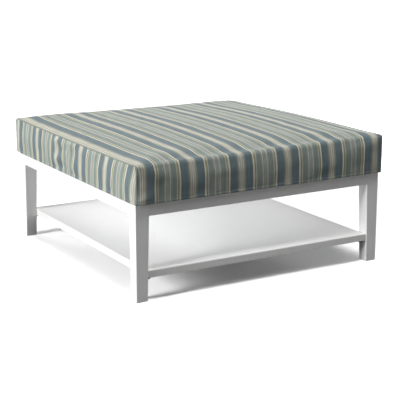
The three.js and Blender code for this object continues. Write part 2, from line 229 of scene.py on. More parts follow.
def linear_colour(code):
    """An sRGB hex colour as the linear colour that a shader takes."""
    parts = [int(code[i : i + 2], 16) / 255 for i in (1, 3, 5)]
    linear = [c / 12.92 if c <= 0.04045 else ((c + 0.055) / 1.055) ** 2.4 for c in parts]
    return (*linear, 1)


# Materials
def set_inputs(node, inputs):
    """Sets a node's inputs, each to a value, an output, or the first output of another node."""
    for socket, value in inputs.items():
        if isinstance(value, bpy.types.Node):
            value = next(output for output in value.outputs if output.enabled)
        if isinstance(value, bpy.types.NodeSocket):
            node.id_data.links.new(value, node.inputs[socket])
        else:
            node.inputs[socket].default_value = value


def add_node(tree, kind, inputs=None, **settings):
    """Adds a node with its settings and its links."""
    node = tree.nodes.new(kind)
    for name, value in settings.items():
        setattr(node, name, value)
    set_inputs(node, inputs or {})
    return node


def cleared_nodes(owner):
    """The node tree of a material or the world, with nothing in it."""
    owner.use_nodes = True
    owner.node_tree.nodes.clear()
    return owner.node_tree


def new_material(name, fixed):
    """A node material with its surface shader, whose fixed values go on the shader's own inputs."""
    material = bpy.data.materials.new(name)
    tree = cleared_nodes(material)
    surface = add_node(tree, "ShaderNodeBsdfPrincipled", fixed)
    add_node(tree, "ShaderNodeOutputMaterial", {"Surface": surface})
    return material, tree, surface


def grained_finish(name, fixed, grain_mm, colours, gloss, strength, depth_mm, detail=2):
    """A finish whose colour, gloss and relief all follow one fine grain."""
    material, tree, surface = new_material(name, fixed)
    place = add_node(tree, "ShaderNodeTexCoord").outputs["Object"]
    spread = {"Vector": place, "Scale": 1 / (grain_mm * MM), "Detail": detail}
    grain = add_node(tree, "ShaderNodeTexNoise", spread)
    shades = {"Factor": grain, "A": linear_colour(colours[0]), "B": linear_colour(colours[1])}
    tint = add_node(tree, "ShaderNodeMix", shades, data_type="RGBA")
    rough = add_node(tree, "ShaderNodeMapRange", {"Value": grain, "To Min": gloss[0], "To Max": gloss[1]})
    raised = {"Height": grain, "Strength": strength, "Distance": depth_mm * MM}
    bump = add_node(tree, "ShaderNodeBump", raised)
    set_inputs(surface, {"Base Color": tint, "Roughness": rough, "Normal": bump})
    return material


def powder_coat():
    """Polyester powder coat on aluminium, sprayed and stoved: a satin white whose fine orange peel softens
    the highlights, and whose gloss is slightly uneven."""
    peel_mm = 1.8
    gloss_patch_mm = 60
    material, tree, surface = new_material("satin_white_powder_coat", {"IOR": 1.5})
    place = add_node(tree, "ShaderNodeTexCoord").outputs["Object"]
    peel = add_node(tree, "ShaderNodeTexNoise", {"Vector": place, "Scale": 1 / (peel_mm * MM), "Detail": 1})
    patch = add_node(tree, "ShaderNodeTexNoise", {"Vector": place, "Scale": 1 / (gloss_patch_mm * MM)})
    shades = {"Factor": patch, "A": linear_colour("#eeeeed"), "B": linear_colour("#f3f3f2")}
    tint = add_node(tree, "ShaderNodeMix", shades, data_type="RGBA")
    gloss = add_node(tree, "ShaderNodeMapRange", {"Value": patch, "To Min": 0.4, "To Max": 0.52})
    bump = add_node(tree, "ShaderNodeBump", {"Height": peel, "Strength": 0.15, "Distance": 0.08 * MM})
    set_inputs(surface, {"Base Color": tint, "Roughness": gloss, "Normal": bump})
    return material


def blackened_steel():
    """Turned steel, chemically blackened: near black with a dull metal gloss and fine turning marks."""
    return grained_finish(
        "blackened_steel", {"Metallic": 0.85}, grain_mm=0.4, colours=("#26272a", "#35363a"),
        gloss=(0.35, 0.55), strength=0.3, depth_mm=0.03,
    )


def moulded_nylon():
    """Injection moulded nylon, natural colour: a waxy off-white with a fine spark-eroded grain."""
    return grained_finish(
        "moulded_nylon", {"IOR": 1.53}, grain_mm=0.7, colours=("#d6d6d1", "#e0e0dc"),
        gloss=(0.5, 0.62), strength=0.25, depth_mm=0.05, detail=3,
    )


def die_cast_zinc():
    """Zinc alloy, pressure cast and nickel plated: a warm grey metal, smooth, with faint barrelling marks."""
    return grained_finish(
        "plated_die_cast_zinc", {"Metallic": 1.0}, grain_mm=0.9, colours=("#b0afab", "#c2c1bd"),
        gloss=(0.28, 0.42), strength=0.2, depth_mm=0.02, detail=4,
    )


def moulded_acetal():
    """Acetal zip teeth, injection moulded onto the tape: dyed grey green, smooth with a soft gloss."""
    return grained_finish(
        "moulded_acetal", {"IOR": 1.48}, grain_mm=1.2, colours=("#6f7c80", "#7b898c"),
        gloss=(0.3, 0.42), strength=0.15, depth_mm=0.03,
    )


def spun_thread():
    """Bonded polyester sewing thread, twisted from three strands: grey green, with a slight sheen."""
    return grained_finish(
        "bonded_polyester_thread", {"Sheen Weight": 0.2, "IOR": 1.5}, grain_mm=0.5,
        colours=("#7d8682", "#949c96"), gloss=(0.6, 0.75), strength=0.3, depth_mm=0.05,
    )


def weave_height(tree, across, along, across_mm, along_mm):
    """Height of a plain weave, from the places across and along the warp."""
    waves = []
    for place, spacing in ((across, across_mm), (along, along_mm)):
        turn = 2 * math.pi / (spacing * MM)
        angle = add_node(tree, "ShaderNodeMath", {0: place, 1: turn}, operation="MULTIPLY")
        waves.append(add_node(tree, "ShaderNodeMath", {0: angle}, operation="SINE"))
    over = add_node(tree, "ShaderNodeMath", {0: waves[0], 1: waves[1]}, operation="MULTIPLY")
    return add_node(tree, "ShaderNodeMapRange", {"Value": over, "From Min": -1})


def striped_canvas():
    """Woven outdoor canvas of spun acrylic yarn, dyed in the fibre: stripes of coloured warp, matt and dry,
    each yarn a little lighter or darker than the next, with shade painted darker along the seams."""
    # The real yarns lie 0.6 mm apart. They are drawn 1.6 mm apart, and unevenly dyed ones in groups of 4 mm,
    # because finer ones don't show.
    yarn_mm = 1.6
    group_mm = 4
    pick_mm = 2.2
    slub_mm = 60
    # The seams are shaded over this width, where the folded cloth lies in its own shadow.
    seam_shade_mm = 4.2
    fixed = {"Sheen Weight": 0.08, "Sheen Roughness": 0.5, "Specular IOR Level": 0.2}
    material, tree, surface = new_material("striped_acrylic_canvas", fixed)
    cloth = add_node(tree, "ShaderNodeUVMap", uv_map="cloth")
    sides = add_node(tree, "ShaderNodeSeparateXYZ", {"Vector": cloth})
    across, along = sides.outputs["X"], sides.outputs["Y"]
    half = REPEAT / 2 * MM
    from_cream = add_node(tree, "ShaderNodeMath", {0: across, 1: FIRST_CREAM * MM}, operation="SUBTRACT")
    folded = add_node(tree, "ShaderNodeMath", {0: from_cream, 1: half}, operation="PINGPONG")
    share = add_node(tree, "ShaderNodeMath", {0: folded, 1: half}, operation="DIVIDE")
    ramp = add_node(tree, "ShaderNodeValToRGB", {"Fac": share})
    stops = ramp.color_ramp.elements
    stops.remove(stops[1])
    stops[0].position = 0
    stops[0].color = linear_colour(BANDS[0][1])
    for (_, before, _), (start, code, blend) in zip(BANDS, BANDS[1:]):
        stops.new((start - blend / 2) / (REPEAT / 2)).color = linear_colour(before)
        stops.new((start + blend / 2) / (REPEAT / 2)).color = linear_colour(code)
    drawn_out = {0: cloth, 1: (1, group_mm / slub_mm, 1)}
    yarn_place = add_node(tree, "ShaderNodeVectorMath", drawn_out, operation="MULTIPLY")
    grouped = {"Vector": yarn_place, "Scale": 1 / (group_mm * MM), "Detail": 2, "Roughness": 0.6}
    yarn = add_node(tree, "ShaderNodeTexNoise", grouped)
    uneven = {"Value": yarn, "From Min": 0.3, "From Max": 0.7, "To Min": 0.75, "To Max": 1.0}
    shade = add_node(tree, "ShaderNodeMapRange", uneven)
    shaded = {"Factor": 1.0, "A": ramp, "B": shade}
    tint = add_node(tree, "ShaderNodeMix", shaded, data_type="RGBA", blend_type="MULTIPLY")
    # Painted shade: the colour darkens towards a grey green near each seam, where the folded cloth lies in
    # its own shadow.
    seam = add_node(tree, "ShaderNodeAttribute", attribute_name="seam").outputs["Fac"]
    near = {"Value": seam, "From Max": seam_shade_mm, "To Min": 0.55, "To Max": 0}
    seam_shade_share = add_node(tree, "ShaderNodeMapRange", near)
    painted_seam_shade = {"Factor": seam_shade_share, "A": tint, "B": linear_colour("#4d544c")}
    tint = add_node(tree, "ShaderNodeMix", painted_seam_shade, data_type="RGBA")
    weave = weave_height(tree, across, along, yarn_mm, pick_mm)
    bump = add_node(tree, "ShaderNodeBump", {"Height": weave, "Strength": 0.3, "Distance": 0.12 * MM})
    rough = add_node(tree, "ShaderNodeMapRange", {"Value": yarn, "To Min": 0.82, "To Max": 0.95})
    set_inputs(surface, {"Base Color": tint, "Roughness": rough, "Normal": bump})
    return material


def plain_canvas(name, first, second, yarn_mm):
    """Woven polyester, dyed in one colour: matt, with a weave that is drawn coarser than the real 0.5 mm so
    that it shows."""
    slub_mm = 9
    material, tree, surface = new_material(name, {"Sheen Weight": 0.1, "Specular IOR Level": 0.3})
    place = add_node(tree, "ShaderNodeTexCoord").outputs["Object"]
    sides = add_node(tree, "ShaderNodeSeparateXYZ", {"Vector": place})
    weave = weave_height(tree, sides.outputs["X"], sides.outputs["Y"], yarn_mm, yarn_mm)
    slub = add_node(tree, "ShaderNodeTexNoise", {"Vector": place, "Scale": 1 / (slub_mm * MM), "Detail": 4})
    shades = {"Factor": slub, "A": linear_colour(first), "B": linear_colour(second)}
    tint = add_node(tree, "ShaderNodeMix", shades, data_type="RGBA")
    rough = add_node(tree, "ShaderNodeMapRange", {"Value": slub, "To Min": 0.85, "To Max": 0.95})
    bump = add_node(tree, "ShaderNodeBump", {"Height": weave, "Strength": 0.35, "Distance": 0.1 * MM})
    set_inputs(surface, {"Base Color": tint, "Roughness": rough, "Normal": bump})
    return material


def dress_frame():
    """Gives the solids that stay their finishes."""
    coat, steel, nylon = powder_coat(), blackened_steel(), moulded_nylon()
    for name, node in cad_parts.items():
        finish = steel if name.startswith("shelf_pin") else nylon if name.startswith("foot_glide") else coat
        node.data.materials.clear()
        node.data.materials.append(finish)


# Modelling
def deselect_all():
    """Leaves nothing selected."""
    if bpy.context.object and bpy.context.object.mode != "OBJECT":
        bpy.ops.object.mode_set(mode="OBJECT")
    bpy.ops.object.select_all(action="DESELECT")


def settle():
    """Moves the active object's place, turn and size into its mesh, and returns it."""
    bpy.ops.object.transform_apply(location=True, rotation=True, scale=True)
    return bpy.context.object


def add_cube(name, middle, size):
    """A cube primitive of a size in millimetres, with its place in its mesh."""
    deselect_all()
    bpy.ops.mesh.primitive_cube_add(size=1, location=Vector(middle) * MM, scale=Vector(size) * MM)
    bpy.context.object.name = name
    return settle()


def apply_modifier(kind, **settings):
    """Adds a modifier to the active object and applies it."""
    bpy.ops.object.modifier_add(type=kind)
    modifier = bpy.context.object.modifiers[-1]
    for name, value in settings.items():
        setattr(modifier, name, value)
    bpy.ops.object.modifier_apply(modifier=modifier.name)


def round_edges(width, segments=2):
    """Bevels the active object's sharp edges by a width in millimetres."""
    limits = {"limit_method": "ANGLE", "angle_limit": SHARP_ANGLE}
    apply_modifier("BEVEL", width=width * MM, segments=segments, **limits)
    bpy.ops.object.shade_smooth_by_angle(angle=SHARP_ANGLE)


def join_pieces(name, pieces):
    """Joins objects into one."""
    deselect_all()
    for piece in pieces:
        piece.select_set(True)
    bpy.context.view_layer.objects.active = pieces[0]
    bpy.ops.object.join()
    bpy.context.object.name = name
    return bpy.context.object


def select_in_mesh(kind, chosen):
    """Goes into edit mode, and selects the faces or edges of the active object that a test picks."""
    bpy.ops.object.mode_set(mode="EDIT")
    bpy.ops.mesh.select_mode(type=kind)
    bpy.ops.mesh.select_all(action="DESELECT")
    mesh = bmesh.from_edit_mesh(bpy.context.object.data)
    for part in mesh.faces if kind == "FACE" else mesh.edges:
        part.select_set(chosen(part))
    bmesh.update_edit_mesh(bpy.context.object.data)


def cut_along(axis, cuts):
    """Divides the edges of the active object that run along an axis."""

    def runs_along(edge):
        way = edge.verts[1].co - edge.verts[0].co
        return abs(way[axis]) > FACING * way.length

    select_in_mesh("EDGE", runs_along)
    bpy.ops.mesh.subdivide(number_cuts=cuts)
    bpy.ops.object.mode_set(mode="OBJECT")


def select_open_edges():
    """Selects the edges round the openings of the mesh that is being edited."""
    bpy.ops.mesh.select_mode(type="EDGE")
    bpy.ops.mesh.select_all(action="DESELECT")
    bpy.ops.mesh.select_non_manifold(extend=False, use_wire=False, use_multi_face=False, use_verts=False)


def face_outwards():
    """Turns the faces of the mesh that is being edited outwards, and leaves edit mode."""
    bpy.ops.mesh.select_all(action="SELECT")
    bpy.ops.mesh.normals_make_consistent(inside=False)
    bpy.ops.object.mode_set(mode="OBJECT")


def corners_of(piece):
    """A piece's vertices as rows of numbers, in metres."""
    places = np.zeros(len(piece.data.vertices) * 3)
    piece.data.vertices.foreach_get("co", places)
    return places.reshape(-1, 3)


def move_corners(piece, places):
    """Puts a piece's vertices at new places, in metres."""
    piece.data.vertices.foreach_set("co", np.ascontiguousarray(places, dtype=np.float32).ravel())
    piece.data.update()


# Cushion form. Swell is 0 at the side panels and 1 halfway between them.
def swell_at(share):
    """How full the form is at a share of the way from its middle to its side."""
    return 1 - np.abs(share) ** SWELL_POWER


def crown_at(share, power=CROWN_POWER):
    """How much of the crown's rise the top has reached, from 0 at its edges to 1 in its middle."""
    return 1 - np.abs(share) ** power


def fade(value, start, end):
    """0 before the start and 1 past the end, with a smooth way between them."""
    share = np.clip((value - start) / (end - start), 0, 1)
    return share * share * (3 - 2 * share)


def height_share(z):
    """How far up the side of the cushion a height lies, from 0 at the hem to 1 at the seam."""
    return (z - HEM_BOTTOM) / (SEAM_HEIGHT - HEM_BOTTOM)


def rounding(distance, radius=SEAM_ROUNDING):
    """How far a surface lies inside the sharp form at a distance from its seam or its edge."""
    short = np.clip(radius - distance, 0, radius)
    return radius - np.sqrt(radius**2 - short**2)


def side_offset(height, swell, bulge=BULGE):
    """How far a side stands out past its bottom edge."""
    rise = np.clip(height_share(height), 0, 1)
    return bulge * np.sin(np.pi * rise) - DRAW_IN * swell * rise


def shoulder_at(height, swell):
    """How far the upper part of the front face leans in at a height, before it rolls over."""
    above = np.clip((height - SEAM_HEIGHT - EDGE_RISE + SHOULDER_HEIGHT) / SHOULDER_HEIGHT, 0, 1)
    return SHOULDER * swell * above**2


def half_section(share, upward, inset, power=CROWN_POWER):
    """Half a section across the cushion. Upward is the share of the way up a front or rear face, and from 1
    to 2 the share of the way on from there to the middle of the top. Inset lies inside the surface, and the
    crown falls off with a power."""
    swell = swell_at(share)
    edge_top = SEAM_HEIGHT + EDGE_RISE * swell
    roll = CORNER_ROLL + (MIDDLE_ROLL - CORNER_ROLL) * swell
    roll_start = edge_top - roll
    roll_middle = HALF + side_offset(roll_start, swell, FRONT_BULGE) - roll
    wall = roll_start - HEM_BOTTOM
    eighth = roll * np.pi / 4
    travel = np.where(
        upward <= 1, upward * (wall + eighth), wall + eighth + (upward - 1) * (eighth + roll_middle)
    )
    on_wall = travel < wall
    angle = np.clip((travel - wall) / roll, 0, np.pi / 2)
    beyond = np.maximum(travel - wall - 2 * eighth, 0)
    wall_height = HEM_BOTTOM + travel
    out = np.where(
        on_wall,
        HALF + side_offset(wall_height, swell, FRONT_BULGE) - rounding(travel, HEM_ROUNDING),
        roll_middle + roll * np.cos(angle) - beyond,
    )
    rise = CROWN_RISE * crown_at(share) * crown_at(np.clip(out / roll_middle, 0, 1), power)
    height = np.where(on_wall, wall_height, roll_start + roll * np.sin(angle) + np.where(beyond > 0, rise, 0))
    return out - inset * np.cos(angle), height - inset * np.sin(angle)


def slack_at(across, back):
    """How far the top stands above the even form, from shares of the half width and half depth."""
    weights = [
        [share * (share - 1) / 2, 1 - share**2, share * (share + 1) / 2]
        for share in (np.clip(across, -1, 1), np.clip(back, -1, 1))
    ]
    total = 0
    for row, row_weight in zip(SLACK, weights[1]):
        for value, weight in zip(row, weights[0]):
            total = total + value * row_weight * weight
    away = (across * HALF - FULL_PLACE[0]) ** 2 + (back * HALF - FULL_PLACE[1]) ** 2
    return total + FULL_RISE * np.exp(-away / FULL_HALF_WIDTH**2)


def round_corner(x, y, z):
    """Rounds the front left corner, which is filled less than the others. It is roundest halfway up."""
    reach_x = np.clip(-x - HALF + SLACK_CORNER, 0, None)
    reach_y = np.clip(-y - HALF + SLACK_CORNER, 0, None)
    pull = 1 - np.maximum(reach_x, reach_y) / np.maximum(np.hypot(reach_x, reach_y), 1e-9)
    pull = np.where(reach_x * reach_y > 0, pull, 0)
    above_hem = fade(z, HEM_BOTTOM, HEM_BOTTOM + SLACK_HEM_HEIGHT)
    near_top = fade(z, SEAM_HEIGHT - SLACK_TOP_HEIGHT, SEAM_HEIGHT)
    pull = pull * (SLACK_AT_HEM + (1 - SLACK_AT_HEM) * above_hem) * (1 - (1 - SLACK_AT_TOP) * near_top)
    return x + reach_x * pull, y + reach_y * pull


def cushion_places(across, back, upward):
    """Places of the cushion's surface in millimetres, and each point's distance from the nearest side seam.
    Across, back and upward are the places on a cube from -1 to 1 that is turned into the cushion."""
    up_share = (upward + 1) / 2
    on_top = upward >= 1
    on_panel = np.abs(across) >= 1
    reach = HALF - SEAM_INSET
    from_seam = SEAM_INSET + (1 - np.abs(across)) * reach
    # The top with the front and rear faces
    climb = np.where(on_top, 2 - np.abs(back), up_share)
    power = np.where(back > 0, REAR_CROWN_POWER, FRONT_CROWN_POWER)
    out, height = half_section(across, climb, rounding(from_seam), power)
    strip_x = np.sign(across) * (HALF - from_seam)
    lean = np.where(back < 0, shoulder_at(height, swell_at(across)), 0)
    strip_y = np.where(on_top & (back == 0), 0, np.sign(back) * out * (1 - lean / HALF))
    # The side panels, between the outline of the end section and the straight bottom edge
    ends = np.ones_like(back)
    seam_y, seam_z = half_section(ends, 2 - np.abs(back), SEAM_INSET)
    side_y, side_z = half_section(ends, up_share, SEAM_INSET)
    foot_y, foot_z = half_section(ends, 0 * ends, SEAM_INSET)
    crest_y, crest_z = half_section(ends, ends, SEAM_INSET)
    low_share = 1 - up_share
    edge_y = low_share * foot_y + up_share * crest_y
    panel_y = np.abs(back) * (low_share * foot_y + side_y - edge_y) + up_share * seam_y
    panel_z = low_share * HEM_BOTTOM + up_share * seam_z + side_z - (low_share * foot_z + up_share * crest_z)
    to_top = low_share * (SEAM_HEIGHT - HEM_BOTTOM)
    to_side = (1 - np.abs(back)) * HALF
    panel_from_seam = SEAM_INSET + np.minimum(to_top, to_side)
    fullness = np.clip((panel_from_seam - SEAM_INSET) / SEAM_ROUNDING, 0, 1)
    turned_in = rounding(panel_z - HEM_BOTTOM, HEM_ROUNDING)
    stands_out = side_offset(panel_z, swell_at(panel_y / HALF)) - turned_in
    panel_x = HALF - rounding(panel_from_seam) + stands_out * fullness
    x = np.where(on_panel, np.sign(across) * panel_x, strip_x)
    y = np.where(on_panel, np.sign(back) * panel_y, strip_y)
    z = np.where(on_panel, panel_z, height)
    z = z + slack_at(x / HALF, y / HALF) * np.clip(height_share(z), 0, 1)
    y = y + np.where(y > 0, REAR_REACH, FRONT_REACH) * y / HALF
    x, y = round_corner(x, y, z)
    seam = np.where(on_panel, panel_from_seam, from_seam) - SEAM_INSET
    return np.stack([x, y, z], -1), seam


def lines_between(length, first, last, step):
    """Shares from -1 to 1 of the mesh lines along a length: some near each end, and even ones between."""
    start, end = first[-1], length - last[-1]
    count = round((end - start) / step)
    even = [start + (end - start) * i / count for i in range(1, count)]
    places = [*first, *even, *(length - d for d in reversed(last))]
    return np.array(places) / length * 2 - 1


def cube_grid(name, lines):
    """A cube primitive divided along each axis and open below. Returns it with its vertices' shares from -1
    to 1."""
    piece = add_cube(name, (0, 0, 0), (2000, 2000, 2000))
    for axis, shares in enumerate(lines):
        cut_along(axis, len(shares) - 2)
    select_in_mesh("FACE", lambda face: face.normal.z < -FACING)
    bpy.ops.mesh.delete(type="FACE")
    bpy.ops.object.mode_set(mode="OBJECT")
    corners = corners_of(piece)
    shares = [
        lines[axis][np.rint((corners[:, axis] + 1) / 2 * (len(lines[axis]) - 1)).astype(int)]
        for axis in range(3)
    ]
    return piece, shares


def settled_cloth():
    """Lets a coarse copy of the cover settle as cloth under light pressure, held at its hem and at its
    seams. Returns how far each point moved beyond the broad swell, on a grid of the cube's shares."""
    step_mm, rise_step_mm = 15, 10
    held_rise, seam_width, seam_hold = 4, 1, 0.6
    slack_share = 0.045
    steps = 20
    smoothing_rounds = 40
    cap = 5
    front_part = 90
    side_count = round(2 * HALF / step_mm)
    counts = [side_count, side_count, round((SEAM_HEIGHT - HEM_BOTTOM) / rise_step_mm)]
    lines = [np.linspace(-1, 1, count + 1) for count in counts]
    piece, shares = cube_grid("settling_cloth", lines)
    rest, seam = cushion_places(*shares)
    move_corners(piece, rest * MM)
    held = piece.vertex_groups.new(name="held")
    loose = piece.vertex_groups.new(name="loose")
    for i, (height, distance) in enumerate(zip(rest[:, 2], seam)):
        if height < HEM_BOTTOM + held_rise:
            held.add([i], 1.0, "REPLACE")
        elif distance < seam_width:
            held.add([i], seam_hold, "REPLACE")
        if height < SEAM_HEIGHT - held_rise:
            loose.add([i], 1.0, "REPLACE")
    bpy.ops.object.modifier_add(type="CLOTH")
    modifier = piece.modifiers[0]
    cloth = modifier.settings
    cloth.quality = 6
    cloth.mass = 0.3
    cloth.tension_stiffness = 20
    cloth.compression_stiffness = 20
    cloth.shear_stiffness = 8
    cloth.bending_stiffness = 0.3
    cloth.vertex_group_mass = "held"
    cloth.pin_stiffness = 3
    cloth.use_pressure = True
    cloth.uniform_pressure_force = 4
    cloth.vertex_group_shrink = "loose"
    cloth.shrink_min = 0
    cloth.shrink_max = -slack_share
    cloth.effector_weights.gravity = 0
    for step in range(1, steps + 1):
        bpy.context.scene.frame_set(step)
    bpy.ops.object.modifier_apply(modifier=modifier.name)
    bpy.context.scene.frame_set(1)
    moved = corners_of(piece) / MM - rest
    edges = np.zeros(len(piece.data.edges) * 2, int)
    piece.data.edges.foreach_get("vertices", edges)
    edges = edges.reshape(-1, 2)
    # The broad swell is the mean over a neighbourhood, which grows with each round
    broad = moved.copy()
    ends = np.concatenate([edges, edges[:, ::-1]])
    number = np.bincount(ends[:, 0], minlength=len(moved))[:, None]
    for _ in range(smoothing_rounds):
        total = np.zeros_like(broad)
        np.add.at(total, ends[:, 0], broad[ends[:, 1]])
        broad = (broad + total / number) / 2
    fine = moved - broad
    size = np.linalg.norm(fine, axis=1, keepdims=True)
    fine = fine * np.minimum(1, cap / np.maximum(size, 1e-6))
    grid = np.zeros([count + 1 for count in counts] + [3])
    index = [np.rint((share + 1) / 2 * count).astype(int) for share, count in zip(shares, counts)]
    grid[index[0], index[1], index[2]] = fine
    # What moves evenly along the whole front is left out, because it only changes the front's section
    full = swell_at(lines[0][1:-1])[:, None, None, None]
    near = (1 - fade((lines[1] + 1) * HALF, 0, front_part))[:, None, None]
    grid[1:-1] -= grid[1:-1].mean(0) * full * near
    bpy.data.objects.remove(piece)
    return grid


def grid_value(grid, shares):
    """The value between the points of a grid, at shares from -1 to 1 along its three axes."""
    places = [(share + 1) / 2 * (count - 1) for share, count in zip(shares, grid.shape)]
    low = [np.clip(np.floor(place).astype(int), 0, count - 2) for place, count in zip(places, grid.shape)]
    part = [place - start for place, start in zip(places, low)]
    total = 0
    for corner in range(8):
        step = [corner >> axis & 1 for axis in range(3)]
        weight = np.prod([p if s else 1 - p for p, s in zip(part, step)], axis=0)
        total = total + weight[:, None] * grid[low[0] + step[0], low[1] + step[1], low[2] + step[2]]
    return total


def puckers(places, seam, shares):
    """How far the cover stands out in puckers where it is sewn with slack, as moves in millimetres. They are
    strongest on the side panels and die out at the seams and the hem."""
    across, _, upward = shares
    x, y, z = places.T
    on_side = np.abs(across) >= 1
    on_end = ~on_side & (upward < 1)
    coarse, fine = (
        np.array([noise.noise(Vector(place)) for place in places / size]) for size in (COARSE_SIZE, FINE_SIZE)
    )
    from_seam = fade(seam, *SEAM_CALM)
    free = from_seam * fade(z, HEM_BOTTOM + HEM_CALM[0], HEM_BOTTOM + HEM_CALM[1])
    side = coarse * PANEL_PUCKERS[0] + fine * PANEL_PUCKERS[1]
    for sign, middle, half_width, height, crest, spacing in WAVES:
        here = np.exp(-(((y - middle) / half_width) ** 2)) * (np.sign(x) == sign)
        turn = 2 * np.pi * (z - crest + (y - middle) * WAVE_SLOPE) / spacing
        side = side + height * here * np.cos(turn)
    crinkled = np.exp(-(((y - CRINKLED_PLACE) / CRINKLED_HALF_WIDTH) ** 2)) * (x < 0)
    side = side + fine * CRINKLED_HEIGHT * crinkled
    end = coarse * END_PUCKERS[0] + fine * END_PUCKERS[1]
    below_top = 1 - fade(z, SEAM_HEIGHT - TOP_CALM[0], SEAM_HEIGHT - TOP_CALM[1])
    return np.stack(
        [
            np.sign(x) * side * free * on_side,
            np.sign(y) * end * below_top * free * on_end,
            coarse * TOP_PUCKERS * from_seam * (upward >= 1) * ~on_side,
        ],
        -1,
    )


def stripe_place(x, z):
    """Where in the cloth a point of the top, front or rear lies, across the stripes. Beside the left seam of
    the top the cloth is drawn out."""
    place = x + CLOTH_SHIFT + RIGHT_SHIFT * fade(x, *RIGHT_PART)
    squeeze = 1 + (EDGE_SQUEEZE - 1) * fade(z, *EDGE_PART)
    return np.where(place < FIRST_CREAM, FIRST_CREAM + (place - FIRST_CREAM) * squeeze, place)


def front_drift(x, z):
    """How far the stripes of the front bow away from the left corner's seam between top and hem."""
    from_corner = (x + HALF) / FRONT_BOW_WIDTH
    return FRONT_BOW * (1 - (2 * height_share(z) - 1) ** 2) * np.exp(-(from_corner**2))


def panel_drift(y, z):
    """How far the stripes of a side panel lie to the rear of an upright line: they lean to the front at the
    top, more towards the front corner, and bow to the rear between top and hem."""
    rise = height_share(z)
    lean = np.clip(PANEL_LEAN - PANEL_LEAN_GROWTH * y, *PANEL_LEAN_LIMITS)
    bow = PANEL_BOW + CORNER_BOW * np.clip((-y - CORNER_BOW_START) / CORNER_BOW_WIDTH, 0, 1)
    return lean * (0.5 - rise) + bow * (1 - (2 * rise - 1) ** 2) - PANEL_BOW


def panel_stripe_place(x, y):
    """Where in the cloth a point of a side panel lies, across the stripes."""
    numbers = np.arange(len(LEFT_CREAMS))
    stripes = 0
    for creams, here in ((LEFT_CREAMS, x < 0), (RIGHT_CREAMS, x >= 0)):
        count = np.interp(-y, -np.array(creams), numbers)
        count = count + (np.clip(creams[-1] - y, 0, None) - np.clip(y - creams[0], 0, None)) / REPEAT
        stripes = stripes + count * here
    return FIRST_CREAM + REPEAT * stripes


def map_cloth(piece, places, shares):
    """Lays the cloth on the cushion: across the stripes, and along them, in metres."""
    across, back, upward = shares
    layer = piece.data.uv_layers.new(name="cloth")
    starts = np.array([loop.vertex_index for loop in piece.data.loops])
    on_panel = np.zeros(len(starts), bool)
    for face in piece.data.polygons:
        if all(abs(across[v]) >= 1 for v in face.vertices):
            on_panel[face.loop_start : face.loop_start + face.loop_total] = True
    x, y, z = places[starts].T
    on_top = upward[starts] >= 1
    along = np.where(on_top, y, np.sign(back[starts]) * (HALF + SEAM_HEIGHT - z))
    moved = x - np.where(back[starts] < 0, front_drift(x, z), 0) * ~on_top
    u = np.where(on_panel, panel_stripe_place(x, y - panel_drift(y, z)), stripe_place(moved, z))
    v = np.where(on_panel, z, along)
    layer.data.foreach_set("uv", (np.stack([u, v], -1) * MM).astype(np.float32).ravel())


def close_bottom(piece):
    """Turns the hem under and closes the cushion above its underside cloth."""
    bpy.ops.object.mode_set(mode="EDIT")
    hem_inside, filling_edge = HALF - HEM_WIDTH, FRAME_HALF + 1.5
    for outer, inner, height in ((HALF, hem_inside, HEM_BOTTOM), (hem_inside, filling_edge, FILLING_BOTTOM)):
        select_open_edges()
        bpy.ops.mesh.extrude_edges_move()
        mesh = bmesh.from_edit_mesh(piece.data)
        for corner in mesh.verts:
            if corner.select:
                corner.co.x = max(-inner * MM, min(inner * MM, corner.co.x * inner / outer))
                corner.co.y = max(-inner * MM, min(inner * MM, corner.co.y * inner / outer))
                corner.co.z = height * MM
        bmesh.update_edit_mesh(piece.data)
    bpy.ops.mesh.edge_face_add()
    face_outwards()


def make_cushion():
    """The stuffed cushion in its striped cover."""
    length = 2 * (HALF - SEAM_INSET)
    height = SEAM_HEIGHT - HEM_BOTTOM
    level = lines_between(length, SEAM_LINES, SEAM_LINES, CLOTH_STEP)
    upright = lines_between(height, HEM_LINES, SEAM_LINES, CLOTH_STEP)
    piece, shares = cube_grid("cushion", [level, level, upright])
    places, seam = cushion_places(*shares)
    moves = puckers(places, seam, shares)
    free = fade(places[:, 2], HEM_BOTTOM, HEM_BOTTOM + SETTLED_RISE)
    moves = moves + grid_value(settled_cloth(), shares) * free[:, None]
    move_corners(piece, (places + moves) * MM)
    map_cloth(piece, places, shares)
    piece.data.attributes.new("seam", "FLOAT", "POINT").data.foreach_set("value", seam.astype(np.float32))
    return piece


def finish_cushion(piece):
    """Rounds the cushion's faces off once, presses its seams in and closes it."""
    deselect_all()
    piece.select_set(True)
    bpy.context.view_layer.objects.active = piece
    apply_modifier("SUBSURF", levels=1, render_levels=1, boundary_smooth="ALL")
    places = corners_of(piece) / MM
    normals = np.zeros(len(places) * 3)
    piece.data.vertices.foreach_get("normal", normals)
    seam = np.zeros(len(places), np.float32)
    piece.data.attributes["seam"].data.foreach_get("value", seam)
    groove = SEAM_GROOVE * np.exp(-((seam / SEAM_GROOVE_WIDTH) ** 2))
    from_stitch = places[:, 2] - HEM_STITCH_HEIGHT
    groove = groove + HEM_GROOVE * np.exp(-((from_stitch / HEM_GROOVE_WIDTH) ** 2))
    move_corners(piece, (places - normals.reshape(-1, 3) * groove[:, None]) * MM)
    close_bottom(piece)
    bpy.ops.object.shade_smooth()


def make_base_cloth():
    """The underside cloth, a flat panel within the hem, with rounded edges."""
    cuts = 12
    middle = (BASE_BOTTOM + BASE_TOP) / 2
    side = 2 * (FRAME_HALF + 1)
    piece = add_cube("cushion_underside", (0, 0, middle), (side, side, BASE_TOP - BASE_BOTTOM))
    cut_along(0, cuts)
    cut_along(1, cuts)
    round_edges(0.5)
    return piece


